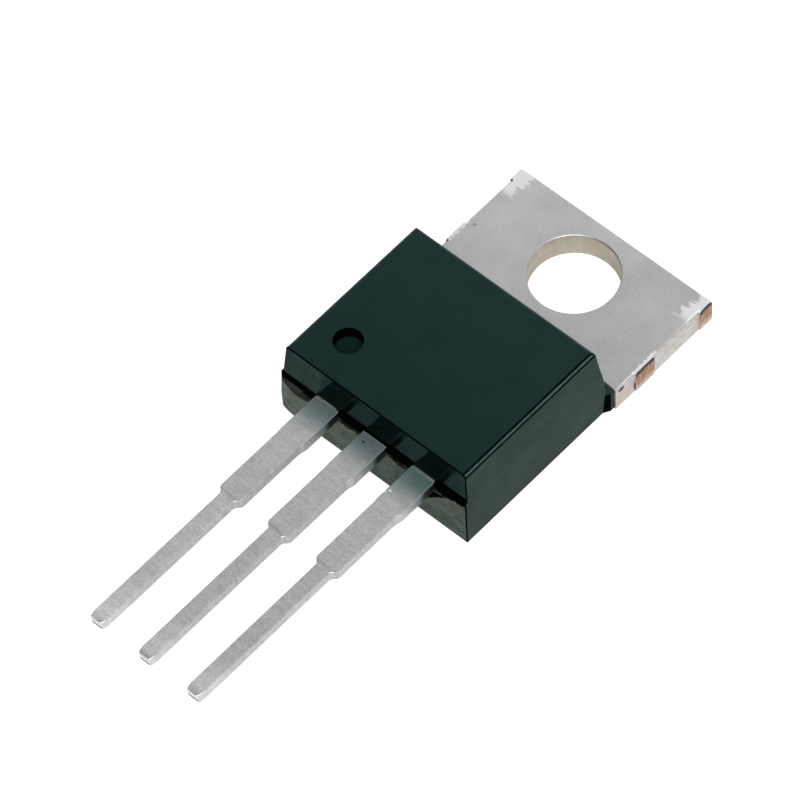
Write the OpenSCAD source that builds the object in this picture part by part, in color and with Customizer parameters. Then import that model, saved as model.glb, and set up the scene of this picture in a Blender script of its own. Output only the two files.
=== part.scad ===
// Power transistor in a flat-tab moulded package with three leads, lying on its tab.
// Origin: centre of the mounting hole, on the seating face.
// +Z points out of the seating face, +Y to the free end of the tab, the leads point to -Y.
// Distances along the part are given as "from the hole centre", and all sizes are millimetres.

/* [Tab] */
// Width of the tab between its blanked sides
tab_w = 10; // [9.6:0.05:10.5]
// Thickness of the tab and of the pad behind the moulding
tab_t = 1.27; // [1.1:0.01:1.4]
// Hole centre to the free end of the tab
tab_end = 2.6; // [2.5:0.05:3.4]
// Hole centre to the shoulders where the tab narrows to the pad
tab_shoulder = 3.2; // [2.9:0.05:3.4]
// Diameter of the mounting hole
hole_d = 3.8; // [3.5:0.05:4.1]
// Radius of the rolled top edges that the blanking punch leaves
edge_roll = 0.12; // [0.04:0.02:0.2]

/* [Tie-bar stubs] */
// How far the sheared stubs stand out of the tab's sides
stub_out = 0.05; // [0.02:0.01:0.13]
// Length of the stubs near the moulding
stub_l = 1.15; // [0.8:0.05:1.3]
// Gap from the shoulder to the stubs near the moulding
stub_gap = 1.15; // [0.8:0.05:1.3]
// Length of the stubs at the free end's corners
stub_end_l = 0.75; // [0.5:0.05:1]

/* [Pad inside the moulding] */
// Width of the pad that carries the die
pad_w = 8.4; // [7.8:0.1:8.8]
// Length of the pad from the shoulders
pad_l = 6.3; // [6:0.05:6.5]
// Depth of the step along the pad's lower edges that the resin grips
lock_step = 0.25; // [0.1:0.05:0.4]
// Height of that step above the seating face
lock_h = 0.45; // [0.3:0.05:0.6]
// Width of the sealing groove across the pad
groove_w = 0.5; // [0.3:0.05:0.6]
// Depth of the sealing groove
groove_d = 0.2; // [0.1:0.05:0.3]
// Back of the moulding to the middle of the sealing groove
groove_in = 0.6; // [0.5:0.05:0.8]

/* [Moulding] */
// Width of the upper half of the moulding at the parting plane
body_w = 9.6; // [9.4:0.05:10]
// Length of the upper half, from its back at the tab to its front at the parting plane
body_l = 8.25; // [8.2:0.05:8.8]
// Height of the moulding above the seating face
body_h = 4.55; // [4.3:0.05:4.8]
// Hole centre to the back of the moulding at the tab's face
body_back = 3.5; // [3.45:0.05:3.7]
// Draft of the front and the sides above the parting plane
draft_up = 3; // [1:0.5:6]
// Draft of the front and the sides below the parting plane
draft_low = 1; // [0.5:0.5:3]
// How far the lower half stands out round the upper half at the parting plane
parting_step = 0.08; // [0.02:0.01:0.12]
// Mismatch of the mould: how far the lower half lies towards lead one
half_shift = 0.08; // [0:0.01:0.12]
// Draft of the back above the tab
draft_back = 8.5; // [5:0.5:10]
// Size of the broken edge round the top face
edge_break = 0.1; // [0.05:0.01:0.2]
// How far the resin lies above the seating face, so that the metal beds first
resin_relief = 0.03; // [0.01:0.01:0.06]
// How far the flash band stands out between the leads
flash_out = 0.1; // [0.04:0.02:0.2]
// Ends of the flash band, in from the moulding's sides
flash_end = 0.12; // [0.05:0.01:0.3]
// How far the resin ears behind the shoulders lie inside the tab's sides
ear_in = 0.08; // [0.04:0.02:0.15]
// Length of the slope in front of each ear
ear_slope = 0.2; // [0.1:0.05:0.3]

/* [Lead-one dimple] */
// Diameter of the dimple at the top face
dimple_d = 1.24; // [1:0.02:1.6]
// Depth of the dimple
dimple_depth = 0.22; // [0.1:0.02:0.3]
// Side of the moulding to the middle of the dimple
dimple_side = 1.74; // [1.5:0.02:2.4]
// Front of the moulding to the middle of the dimple
dimple_front = 1.89; // [1.8:0.01:2.6]

/* [Leads] */
// Distance between the middles of neighbouring leads
lead_pitch = 2.54; // [2.5:0.01:2.6]
// Thickness of the leads
lead_t = 0.5; // [0.4:0.01:0.55]
// Height of the leads' upper faces, which is the parting plane
lead_top = 2.85; // [2.7:0.05:3]
// Width of the narrow part that goes into the board
lead_w = 0.7; // [0.6:0.01:0.85]
// Width of the wide part next to the moulding
lead_wide_w = 1.15; // [1.1:0.01:1.4]
// Length of a lead from the moulding's front
lead_l = 13.25; // [12.7:0.05:14.2]
// Length of the wide part from the moulding's front
lead_wide_l = 5.55; // [4:0.05:6]
// Length of the slope from the wide part to the narrow part
shoulder_l = 0.2; // [0.1:0.05:0.4]
// Length of the dam-bar stubs from the moulding's front
dam_l = 1.95; // [1.4:0.05:2.2]
// How far the dam bar's cut stands out on the side of lead one
dam_left = 0.02; // [0.01:0.01:0.08]
// How far the dam bar's cut stands out on the other side
dam_right = 0.08; // [0.02:0.01:0.12]
// Length of the coined tip
tip_l = 0.25; // [0.1:0.05:0.4]
// How much the coined tip loses on each side and face
tip_in = 0.1; // [0.04:0.02:0.14]
// Angle of the bends that lift the middle lead from the pad
joggle_angle = 60; // [50:1:65]
// Radius of those bends at the middle of the thickness
joggle_r = 0.5; // [0.4:0.05:0.55]
// Straight stretch between the pad and the first bend
joggle_lead_in = 0.1; // [0.05:0.05:0.2]

/* [Bond posts] */
// Width of the post at the inner end of each outer lead
post_w = 2.3; // [1.9:0.05:2.4]
// Length of the posts
post_l = 1.4; // [1.2:0.05:1.5]
// Gap between the pad's end and the posts, seen from above
post_gap = 0.1; // [0.05:0.05:0.3]
// How far the posts lie outwards of their leads
post_shift = 0.2; // [0.1:0.05:0.3]
// Cut corners of the posts
post_corner = 0.25; // [0.1:0.05:0.4]

/* [Die and bond wires] */
// Side of the square die
die_w = 3.2; // [3:0.1:3.5]
// Thickness of the die
die_t = 0.28; // [0.2:0.01:0.35]
// Front end of the pad to the die
die_front = 0.9; // [0.6:0.1:1.1]
// Thickness of the solder under the die
solder_t = 0.06; // [0.04:0.01:0.1]
// How far the solder runs out past the die
solder_out = 0.2; // [0.1:0.05:0.3]
// Diameter of the base wire
base_wire_d = 0.25; // [0.2:0.01:0.3]
// Diameter of the emitter wires
emitter_wire_d = 0.38; // [0.3:0.01:0.42]
// Distance between the emitter wires
emitter_wire_gap = 0.9; // [0.8:0.05:1]
// Edges of the die to the wires' feet on it
foot_margin = 0.5; // [0.45:0.05:0.6]
// Half the angle that each wire's loop turns through
loop_half_angle = 50; // [40:1:60]

/* [Hidden] */
$fn = 48;
overrun = 1;                                  // how far cutting shapes pass the faces they cut
upper_front = body_back + body_l;             // front of the upper half at the parting plane
front_y = upper_front + parting_step;         // front of the lower half, where the leads come out
lower_w = body_w + 2 * parting_step;
tongue_in = 0.5;                              // keeps the halves' overlap inside both of them
pad_end = tab_shoulder + pad_l;
side_low_in = (lead_top - resin_relief) * tan(draft_low);
side_up_in = (body_h - lead_top) * tan(draft_up);
back_in = (body_h - tab_t) * tan(draft_back);
break_up_in = edge_break * tan(draft_up);
break_back_in = edge_break * tan(draft_back);
lead_tip_y = front_y + lead_l;
lead_mid_z = lead_top - lead_t / 2;
joggle_low_z = tab_t - lead_t / 2;
joggle_rise = lead_mid_z - joggle_low_z;
joggle_slope_l = (joggle_rise - 2 * joggle_r * (1 - cos(joggle_angle))) / sin(joggle_angle);
joggle_start = pad_end + joggle_lead_in;
joggle_turn = joggle_r * sin(joggle_angle);   // run of one bend along the part
joggle_end = joggle_start + 2 * joggle_turn + joggle_slope_l * cos(joggle_angle);
solder_top = tab_t + solder_t;
die_top = solder_top + die_t;
die_y = pad_end - die_front - die_w / 2;      // middle of the die, from the hole centre
foot_y = die_y + die_w / 2 - foot_margin;     // heels of the wires on the die
post_y = pad_end + post_gap;                  // inner end of the posts
post_mid_y = post_y + post_l / 2;
post_x = lead_pitch + post_shift;
foot_l_by_d = 2;                              // a foot's length, width and height by wire size
foot_w_by_d = 1.4;
foot_h_by_d = 0.55;
heel_z_by_d = 0.48;                           // height of the wire's middle where it leaves a foot

// A flat shape drawn as (distance from the hole centre, height), spread over w across the part.
module across(w) {
    translate([-w / 2, 0, 0]) rotate([90, 0, 0]) rotate([0, -90, 0]) mirror([0, 0, 1])
        linear_extrude(w) children();
}

// A flat shape drawn as (x, distance from the hole centre), raised from z0 by h.
module plan(z0, h) {
    translate([0, 0, z0]) linear_extrude(h) mirror([0, 1]) children();
}

// Section along the upper half: drafted front, steep back over the tab, broken top edges.
module upper_length_section() {
    polygon([
        [upper_front, lead_top],
        [upper_front - side_up_in + break_up_in, body_h - edge_break],
        [upper_front - side_up_in - edge_break, body_h],
        [body_back + back_in + edge_break, body_h],
        [body_back + back_in - break_back_in, body_h - edge_break],
        [body_back, tab_t],
        [body_back, tab_t - overrun],
        [upper_front, tab_t - overrun]
    ]);
}

// Section across the upper half, with a tongue below the parting plane inside the lower half.
module upper_width_section() {
    half = body_w / 2;
    tongue = half - tongue_in;
    polygon([
        [half, lead_top],
        [half - side_up_in + break_up_in, body_h - edge_break],
        [half - side_up_in - edge_break, body_h],
        [-half + side_up_in + edge_break, body_h],
        [-half + side_up_in - break_up_in, body_h - edge_break],
        [-half, lead_top],
        [-tongue, lead_top],
        [-tongue, lead_top - overrun],
        [tongue, lead_top - overrun],
        [tongue, lead_top]
    ]);
}

// Section along the lower half, which ends at the slope of the back.
module lower_length_section() {
    polygon([
        [front_y - side_low_in, resin_relief],
        [front_y, lead_top],
        [body_back + (lead_top - tab_t) * tan(draft_back), lead_top],
        [body_back, tab_t],
        [body_back, resin_relief]
    ]);
}

// Section across the lower half.
module lower_width_section() {
    half = lower_w / 2;
    polygon([
        [half - side_low_in, resin_relief],
        [half, lead_top],
        [-half, lead_top],
        [-half + side_low_in, resin_relief]
    ]);
}

// A section across the part, spread along it from before the moulding's back to past its front.
module along() {
    translate([0, -body_back + overrun, 0]) rotate([90, 0, 0])
        linear_extrude(front_y - body_back + 2 * overrun) children();
}

module upper_half() {
    intersection() {
        across(body_w + 2 * overrun) upper_length_section();
        along() upper_width_section();
    }
}

module lower_half() {
    translate([-half_shift, 0, 0]) intersection() {
        across(lower_w + 2 * overrun) lower_length_section();
        along() lower_width_section();
    }
}

// Resin that fills in behind the tab's shoulders, beside the pad.
module ear() {
    inner = pad_w / 2 - lock_step - overrun / 2;
    outer = tab_w / 2 - ear_in;
    side = lower_w / 2 - half_shift - side_low_in;
    plan(resin_relief, tab_t - resin_relief) polygon([
        [inner, tab_shoulder],
        [outer, tab_shoulder],
        [outer, body_back - ear_slope / 2],
        [side, body_back + ear_slope],
        [inner, body_back + ear_slope]
    ]);
}

// Rough band of resin one lead thick, broken off where it ran out between the leads.
module flash_band() {
    band_w = lower_w - 2 * flash_end;
    translate([-half_shift - band_w / 2, -front_y - flash_out, lead_top - lead_t])
        cube([band_w, flash_out + edge_break, lead_t]);
}

module dimple() {
    x = body_w / 2 - dimple_side;
    translate([-x, -upper_front + dimple_front, body_h - dimple_depth])
        cylinder(h = 2 * dimple_depth, d1 = dimple_d - dimple_depth / 2, d2 = dimple_d + dimple_depth / 2);
}

// Everything that the resin is moulded round.
module insert() {
    header_tab();
    die_solder();
    silicon_die();
    base_wire();
    emitter_wire_1();
    emitter_wire_2();
    base_lead();
    emitter_lead();
}

module mould_body() {
    color("#24302f") difference() {
        union() {
            upper_half();
            lower_half();
            ear();
            mirror([1, 0, 0]) ear();
            flash_band();
        }
        dimple();
        insert();
    }
}

// Tab section with the two upper edges rolled over.
module rolled_section() {
    translate([-tab_w / 2, 0]) square([tab_w, tab_t - edge_roll]);
    translate([-tab_w / 2 + edge_roll, 0]) square([tab_w - 2 * edge_roll, tab_t]);
    for (side = [-1, 1])
        translate([side * (tab_w / 2 - edge_roll), tab_t - edge_roll]) circle(edge_roll);
}

module tab_plate() {
    translate([0, tab_end, 0]) rotate([90, 0, 0]) linear_extrude(tab_end + tab_shoulder) rolled_section();
}

// Sheared stubs of the strip's tie bars, one pair at the free end and one near the moulding.
module tie_bar_stubs() {
    stub_w = tab_w + 2 * stub_out;
    translate([-stub_w / 2, tab_end - stub_end_l, 0]) cube([stub_w, stub_end_l, tab_t]);
    translate([-stub_w / 2, -tab_shoulder + stub_gap, 0]) cube([stub_w, stub_l, tab_t]);
}

// Pad with a step along its lower edges.
module pad() {
    foot_w = pad_w - 2 * lock_step;
    translate([-pad_w / 2, -pad_end, lock_h]) cube([pad_w, pad_l, tab_t - lock_h]);
    translate([-foot_w / 2, -pad_end + lock_step, 0]) cube([foot_w, pad_l - lock_step, lock_h]);
}

module sealing_groove() {
    translate([0, -body_back - groove_in, tab_t]) across(pad_w + 2 * overrun)
        polygon([[-groove_w / 2, 0], [0, -groove_d], [groove_w / 2, 0], [groove_w / 2, overrun],
                 [-groove_w / 2, overrun]]);
}

// Points on an arc round c, from angle a0 to a1.
function arc(c, r, a0, a1, steps = 8) =
    [for (i = [0:steps]) let (a = a0 + (a1 - a0) * i / steps) c + r * [cos(a), sin(a)]];

// Corners of a coined tip in side view, from its lower face to its upper face.
function tip_points() = [
    [lead_tip_y - tip_l, lead_top - lead_t], [lead_tip_y, lead_top - lead_t + tip_in],
    [lead_tip_y, lead_top - tip_in], [lead_tip_y - tip_l, lead_top]
];

// Side view of the middle lead: out of the pad, up to the lead plane and along it to the tip.
module joggle_section() {
    half = lead_t / 2;
    low_bend = [joggle_start, joggle_low_z + joggle_r];
    high_bend = [joggle_end, lead_mid_z - joggle_r];
    turned = joggle_angle - 90;
    polygon(concat(
        [[pad_end - lead_t, joggle_low_z - half]],
        arc(low_bend, joggle_r + half, -90, turned),
        arc(high_bend, joggle_r - half, 180 + turned, 90),
        tip_points(),
        arc(high_bend, joggle_r + half, 90, 180 + turned),
        arc(low_bend, joggle_r - half, turned, -90),
        [[pad_end - lead_t, joggle_low_z + half]]
    ));
}

// Side view of an outer lead.
module straight_section() {
    polygon(concat([[post_y, lead_top - lead_t]], tip_points(), [[post_y, lead_top]]));
}

// Outline of the bare part of a lead, from start outwards, round x = 0.
module lead_outline(start) {
    wide = lead_wide_w / 2;
    narrow = lead_w / 2;
    dam_end = front_y + dam_l;
    polygon([
        [wide + dam_right, start], [wide + dam_right, dam_end], [wide, dam_end],
        [wide, front_y + lead_wide_l], [narrow, front_y + lead_wide_l + shoulder_l],
        [narrow, lead_tip_y - tip_l], [narrow - tip_in, lead_tip_y],
        [-narrow + tip_in, lead_tip_y], [-narrow, lead_tip_y - tip_l],
        [-narrow, front_y + lead_wide_l + shoulder_l], [-wide, front_y + lead_wide_l],
        [-wide, dam_end], [-wide - dam_left, dam_end], [-wide - dam_left, start]
    ]);
}

// Outline of the post on the inner end of an outer lead, side 1 or -1 giving its outer side.
module post_outline(side) {
    x = side * post_shift;
    half = post_w / 2;
    polygon([
        [x - half + post_corner, post_y], [x + half - post_corner, post_y],
        [x + half, post_y + post_corner], [x + half, post_y + post_l - post_corner],
        [x + half - post_corner, post_y + post_l], [x - half + post_corner, post_y + post_l],
        [x - half, post_y + post_l - post_corner], [x - half, post_y + post_corner]
    ]);
}

module outer_lead(side) {
    translate([side * lead_pitch, 0, 0]) intersection() {
        plan(lead_top - lead_t - overrun, lead_t + 2 * overrun) {
            lead_outline(post_mid_y);
            post_outline(side);
        }
        across(post_w + 4 * post_shift) straight_section();
    }
}

// Copper strip in one piece: tab, die pad and the collector lead that rises from the pad.
module header_tab() {
    color("#b9bab8") difference() {
        union() {
            tab_plate();
            tie_bar_stubs();
            pad();
            intersection() {
                plan(-overrun, body_h) lead_outline(pad_end - lead_t);
                across(2 * lead_wide_w) joggle_section();
            }
        }
        translate([0, 0, -overrun]) cylinder(h = tab_t + 2 * overrun, d = hole_d);
        sealing_groove();
    }
}

module base_lead() {
    color("#b4b6b5") outer_lead(-1);
}

module emitter_lead() {
    color("#b4b6b5") outer_lead(1);
}

module silicon_die() {
    color("#4a4d55") translate([-die_w / 2, -die_y - die_w / 2, solder_top]) cube([die_w, die_w, die_t]);
}

module die_solder() {
    solder_w = die_w + 2 * solder_out;
    color("#8d8f90") translate([-solder_w / 2, -die_y - solder_w / 2, tab_t]) cube([solder_w, solder_w, solder_t]);
}

// The flattened foot of a wire of size d, its heel at x = 0 and its end towards -x.
module foot(d) {
    translate([-foot_l_by_d * d, -foot_w_by_d * d / 2, 0])
        cube([(foot_l_by_d + heel_z_by_d) * d, foot_w_by_d * d, foot_h_by_d * d]);
    intersection() {
        translate([0, 0, heel_z_by_d * d]) sphere(d = d);
        translate([-d, -d, 0]) cube([2 * d, 2 * d, 2 * d]);
    }
}

// Wire of size d in one round loop from foot p to foot q, each [x, from the hole centre, z].
module bond_wire(p, q, d) {
    run = norm([q.x - p.x, q.y - p.y]);
    slope = atan((q.z - p.z) / run);
    chord = run / cos(slope);
    loop_r = chord / 2 / sin(loop_half_angle);
    drop = loop_r * cos(loop_half_angle);
    mid = [run / 2 + drop * sin(slope), (q.z - p.z) / 2 + heel_z_by_d * d - drop * cos(slope)];
    translate([p.x, -p.y, p.z]) rotate([0, 0, atan2(p.y - q.y, q.x - p.x)]) {
        foot(d);
        translate([run, 0, q.z - p.z]) rotate([0, 0, 180]) foot(d);
        translate([mid.x, 0, mid.y]) rotate([90, 0, 0]) rotate([0, 0, 90 + slope - loop_half_angle])
            rotate_extrude(angle = 2 * loop_half_angle) translate([loop_r, 0]) circle(d = d);
    }
}

module base_wire() {
    color("#c9cbcc") bond_wire([-die_w / 2 + foot_margin, foot_y, die_top],
                               [-post_x, post_mid_y, lead_top], base_wire_d);
}

// Emitter wire, side -1 for the inner one and 1 for the outer one.
module emitter_wire(side) {
    spread = side * emitter_wire_gap / 2;
    color("#c9cbcc") bond_wire([die_w / 2 - foot_margin - emitter_wire_gap / 2 + spread, foot_y, die_top],
                               [post_x + spread, post_mid_y, lead_top], emitter_wire_d);
}

module emitter_wire_1() {
    emitter_wire(-1);
}

module emitter_wire_2() {
    emitter_wire(1);
}

mould_body();
header_tab();
base_lead();
emitter_lead();
silicon_die();
die_solder();
base_wire();
emitter_wire_1();
emitter_wire_2();
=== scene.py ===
from functools import cached_property
from math import cos, radians, sin, tan

import bmesh
import bpy
from mathutils import Matrix, Vector, noise


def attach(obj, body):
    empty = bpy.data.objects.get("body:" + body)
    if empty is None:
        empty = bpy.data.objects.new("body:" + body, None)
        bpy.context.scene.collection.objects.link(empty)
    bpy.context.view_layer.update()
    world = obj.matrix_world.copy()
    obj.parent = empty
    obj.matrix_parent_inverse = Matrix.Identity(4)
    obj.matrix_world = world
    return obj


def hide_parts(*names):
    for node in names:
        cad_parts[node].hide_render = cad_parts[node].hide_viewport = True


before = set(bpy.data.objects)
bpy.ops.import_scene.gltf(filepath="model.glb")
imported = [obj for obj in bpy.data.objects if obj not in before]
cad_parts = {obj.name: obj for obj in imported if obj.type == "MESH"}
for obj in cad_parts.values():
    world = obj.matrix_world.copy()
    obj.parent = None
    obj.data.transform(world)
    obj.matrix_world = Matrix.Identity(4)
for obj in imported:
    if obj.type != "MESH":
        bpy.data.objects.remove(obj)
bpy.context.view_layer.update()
print("CAD frame loaded")

# Pieces are modelled in millimetres and shrunk to metres when they are finished.
mmInMetre = 1000
mm = 1 / mmInMetre

# A point this close to a place counts as there, in millimetres.
near = 0.01
# A normal with this share along an axis counts as facing that way.
straightOn = 0.95
# Smallest turns between faces, in radians, that count as a corner and as a square corner.
sharp = radians(25)
square = 1


def clearPicks():
    bpy.ops.object.select_all(action="DESELECT")


def pickPiece(piece):
    clearPicks()
    piece.select_set(True)
    bpy.context.view_layer.objects.active = piece


def startEdit(piece):
    pickPiece(piece)
    bpy.ops.object.mode_set(mode="EDIT")


def endEdit():
    bpy.ops.object.mode_set(mode="OBJECT")


def bakePlace(piece):
    pickPiece(piece)
    bpy.ops.object.transform_apply(location=True, rotation=True, scale=True)


def addBox(name, low, high):
    clearPicks()
    bpy.ops.mesh.primitive_cube_add(size=1, location=[(a + b) / 2 for a, b in zip(low, high)])
    piece = bpy.context.object
    piece.name = name
    piece.scale = [b - a for a, b in zip(low, high)]
    bakePlace(piece)
    return piece


def addRound(name, middle, radius, low, high, sides=96):
    clearPicks()
    bpy.ops.mesh.primitive_cylinder_add(vertices=sides, radius=radius, depth=high - low,
                                        location=(middle[0], middle[1], (low + high) / 2))
    piece = bpy.context.object
    piece.name = name
    bakePlace(piece)
    return piece


# Selects the faces, edges or points that pass the test, and nothing else.
def pick(kind, test):
    bpy.ops.mesh.select_mode(type=kind)
    bpy.ops.mesh.select_all(action="DESELECT")
    data = bpy.context.edit_object.data
    shape = bmesh.from_edit_mesh(data)
    for part in {"FACE": shape.faces, "EDGE": shape.edges, "VERT": shape.verts}[kind]:
        if test(part):
            part.select_set(True)
    shape.select_flush_mode()
    bmesh.update_edit_mesh(data)


def pickFaces(test):
    pick("FACE", lambda face: test(face.calc_center_median(), face.normal))


def pickPoints(test):
    pick("VERT", lambda point: test(point.co))


# Edges that pass the test and where the faces turn by more than the angle.
def pickEdges(angle, test):
    pick("EDGE", lambda edge: edge.is_manifold and edge.calc_face_angle() > angle and test(edge))


# Sharp edges whose two ends both pass the test.
def pickCorners(test):
    pickEdges(sharp, lambda edge: all(test(point.co) for point in edge.verts))


def ends(edge, axis):
    return [point.co["xyz".index(axis)] for point in edge.verts]


def middleOf(edge, axis):
    return sum(ends(edge, axis)) / 2


def reachOf(edge, axis):
    first, second = ends(edge, axis)
    return abs(first - second)


def cutPicked(point, direction):
    bpy.ops.mesh.bisect(plane_co=point, plane_no=direction)


def cut(point, direction):
    bpy.ops.mesh.select_all(action="SELECT")
    cutPicked(point, direction)


def pull(move):
    bpy.ops.mesh.extrude_region_move(TRANSFORM_OT_translate={"value": move})


def shift(move):
    bpy.ops.transform.translate(value=move)


def stretch(factors, middle):
    bpy.ops.transform.resize(value=factors, center_override=middle)


def roundOff(size, steps):
    bpy.ops.mesh.bevel(offset=size, segments=steps, affect="EDGES")


def combine(piece, other, way):
    pickPiece(piece)
    change = piece.modifiers.new("combine", "BOOLEAN")
    change.operation, change.solver, change.object = way, "EXACT", other
    bpy.ops.object.modifier_apply(modifier=change.name)
    bpy.data.objects.remove(other)


def softenCorners(piece, size):
    pickPiece(piece)
    change = piece.modifiers.new("soften", "BEVEL")
    change.width, change.segments = size, 1
    change.limit_method, change.angle_limit = "ANGLE", radians(50)
    bpy.ops.object.modifier_apply(modifier=change.name)


def copyPiece(piece, name, move):
    pickPiece(piece)
    bpy.ops.object.duplicate(linked=False)
    made = bpy.context.object
    made.name = name
    made.location = move
    bakePlace(made)
    return made


def settle(piece, nodes):
    pickPiece(piece)
    piece.scale = (mm, mm, mm)
    bakePlace(piece)
    bpy.ops.object.shade_smooth_by_angle(angle=radians(32))
    change = piece.modifiers.new("flat faces", "WEIGHTED_NORMAL")
    change.keep_sharp = True
    bpy.ops.object.modifier_apply(modifier=change.name)
    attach(piece, "root")
    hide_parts(*nodes)


# A socket of one node tree. Sums on it add Math nodes, and node() adds any other node.
class Wire:
    def __init__(self, tree, socket=None):
        self.tree, self.socket = tree, socket

    def node(self, kind, settings=None, sockets=None, out=0):
        made = self.tree.nodes.new("ShaderNode" + kind)
        for name, value in (settings or {}).items():
            setattr(made, name, value)
        for name, value in (sockets or {}).items():
            plug = made.inputs[name]
            if isinstance(value, Wire):
                self.tree.links.new(value.socket, plug)
            else:
                plug.default_value = value
        return Wire(self.tree, made.outputs[out])

    def maths(self, operation, *values):
        return self.node("Math", {"operation": operation}, dict(enumerate(values)))

    def __add__(self, other):
        return self.maths("ADD", self, other)

    def __sub__(self, other):
        return self.maths("SUBTRACT", self, other)

    def __rsub__(self, other):
        return self.maths("SUBTRACT", other, self)

    def __mul__(self, other):
        return self.maths("MULTIPLY", self, other)

    def __abs__(self):
        return self.maths("ABSOLUTE", self)

    __radd__, __rmul__ = __add__, __mul__

    def most(self, other):
        return self.maths("MAXIMUM", self, other)

    # 0 below low and 1 above high, rising smoothly between. With low above high it falls instead.
    def rise(self, low, high):
        return self.node("MapRange", {"interpolation_type": "SMOOTHSTEP"},
                         {"Value": self, "From Min": low, "From Max": high, "To Min": 0.0, "To Max": 1.0})

    # 1 between low and high, fading to 0 over the given width outside them.
    def within(self, low, high, fade):
        return self.rise(low - fade, low) * self.rise(high + fade, high)

    def blend(self, first, second):
        sockets = {0: self, 6: first if isinstance(first, Wire) else (*first, 1),
                   7: second if isinstance(second, Wire) else (*second, 1)}
        return self.node("Mix", {"data_type": "RGBA"}, sockets, 2)

    def part(self, axis):
        return self.node("SeparateXYZ", sockets={"Vector": self}, out="XYZ".index(axis))

    def scaled(self, factors):
        return self.node("VectorMath", {"operation": "MULTIPLY"}, {0: self, 1: factors})

    def grain(self, size, detail):
        return self.node("TexNoise", sockets={"Vector": self, "Scale": 1 / size, "Detail": detail,
                                              "Roughness": 0.55})


class Finish:
    def __init__(self, name, fixed):
        self.material = bpy.data.materials.new(name)
        self.material.use_nodes = True
        tree = self.material.node_tree
        self.shader = next(n for n in tree.nodes if n.type == "BSDF_PRINCIPLED")
        self.tree = tree
        for socket, value in fixed.items():
            self.shader.inputs[socket].default_value = value
        self.place = Wire(tree).node("TexCoord", out="Object").scaled((mmInMetre,) * 3)   # in millimetres

    @cached_property
    def x(self):
        return self.place.part("X")

    @cached_property
    def y(self):
        return self.place.part("Y")

    @cached_property
    def z(self):
        return self.place.part("Z")

    @cached_property
    def facing(self):
        return Wire(self.tree).node("TexCoord", out="Normal")

    # Across the nearest lead from its middle, in millimetres, positive to the right.
    def acrossLead(self):
        pitch = leadSizes["pitch"]
        return self.x - (self.x * (1 / pitch)).maths("ROUND") * pitch

    def give(self, socket, wire):
        self.tree.links.new(wire.socket, self.shader.inputs[socket])

    # 1 in the middle of an ellipsoid with the given half sizes, fading to 0 across its surface.
    def spot(self, middle, sizes):
        offset = self.place.node("VectorMath", {"operation": "SUBTRACT"}, {0: self.place, 1: middle})
        inner = offset.scaled([1 / size for size in sizes])
        return inner.node("VectorMath", {"operation": "LENGTH"}, {0: inner}, "Value").rise(1.2, 0.8)

    # The depth is in millimetres.
    def relief(self, height, depth):
        sockets = {"Strength": 1.0, "Distance": depth * mm, "Height": height}
        self.give("Normal", height.node("Bump", sockets=sockets))


leadSizes = {
    "pitch": 2.54,
    "top": 2.85,
    "thickness": 0.5,
    "wide": 1.15,
    "narrow": 0.7,
    "innerEnd": -11.0,
    "damEnd": -13.78,
    "damRun": 0.25,          # length of the slope that ends the dam bar's stubs
    "damLeft": 0.02,
    "damRight": 0.08,
    "shoulder": -17.38,
    "shoulderRun": 0.2,
    "tip": -25.08,
    "tipRun": 0.3,
    "tipIn": 0.05,
    "tipThin": 0.02,
    "tornTop": 2.47,         # below this height the cut end is torn copper
    "tornDepth": 0.03,
    "cornerRound": 0.09,
    "topRoll": 0.05,
    "edgeSoft": 0.012,
}


def makeLead():
    s = leadSizes
    half, narrow = s["wide"] / 2, s["narrow"] / 2
    bottom, middle = s["top"] - s["thickness"], s["top"] - s["thickness"] / 2
    lead = addBox("leadBlank", (-half, s["tip"], bottom), (half, s["innerEnd"], s["top"]))
    startEdit(lead)
    for place in (s["damEnd"], s["damEnd"] - s["damRun"], s["shoulder"], s["shoulder"] - s["shoulderRun"],
                  s["tip"] + s["tipRun"]):
        cut((0, place, 0), (0, 1, 0))
    pickPoints(lambda p: p.y < s["shoulder"] - s["shoulderRun"] / 2)
    stretch((narrow / half, 1, 1), (0, 0, 0))
    pickPoints(lambda p: p.y < s["tip"] + s["tipRun"] / 2)
    stretch((1 - s["tipIn"] / narrow, 1, 1 - 2 * s["tipThin"] / s["thickness"]), (0, 0, middle))
    # The dam bar's sheared stubs stand out on both sides, next to the body.
    pickPoints(lambda p: p.x > 0 and p.y > s["damEnd"] - near)
    shift((s["damRight"], 0, 0))
    pickPoints(lambda p: p.x < 0 and p.y > s["damEnd"] - near)
    shift((-s["damLeft"], 0, 0))
    # Upright corners of the outline, then the rolled upper edges.
    pickEdges(radians(8), lambda e: reachOf(e, "z") > s["thickness"] / 2
              and max(ends(e, "y")) < s["innerEnd"] - near)
    roundOff(s["cornerRound"], 3)
    pickEdges(sharp, lambda e: min(ends(e, "z")) > s["top"] - s["tipThin"] - near
              and s["tip"] + 2 * near < middleOf(e, "y") < s["innerEnd"] - near)
    roundOff(s["topRoll"], 3)

    # The cut end: smeared above and torn below.
    def onEnd(c, n):
        return n.y < -straightOn and c.y < s["tip"] + 2 * near

    pickFaces(onEnd)
    cutPicked((0, 0, s["tornTop"]), (0, 0, 1))
    pickFaces(lambda c, n: onEnd(c, n) and c.z < s["tornTop"])
    shift((0, s["tornDepth"], 0))
    endEdit()
    return lead


postSizes = {"width": 2.3, "length": 1.4, "shift": 0.2, "corner": 0.25, "neck": 0.01}


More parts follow.
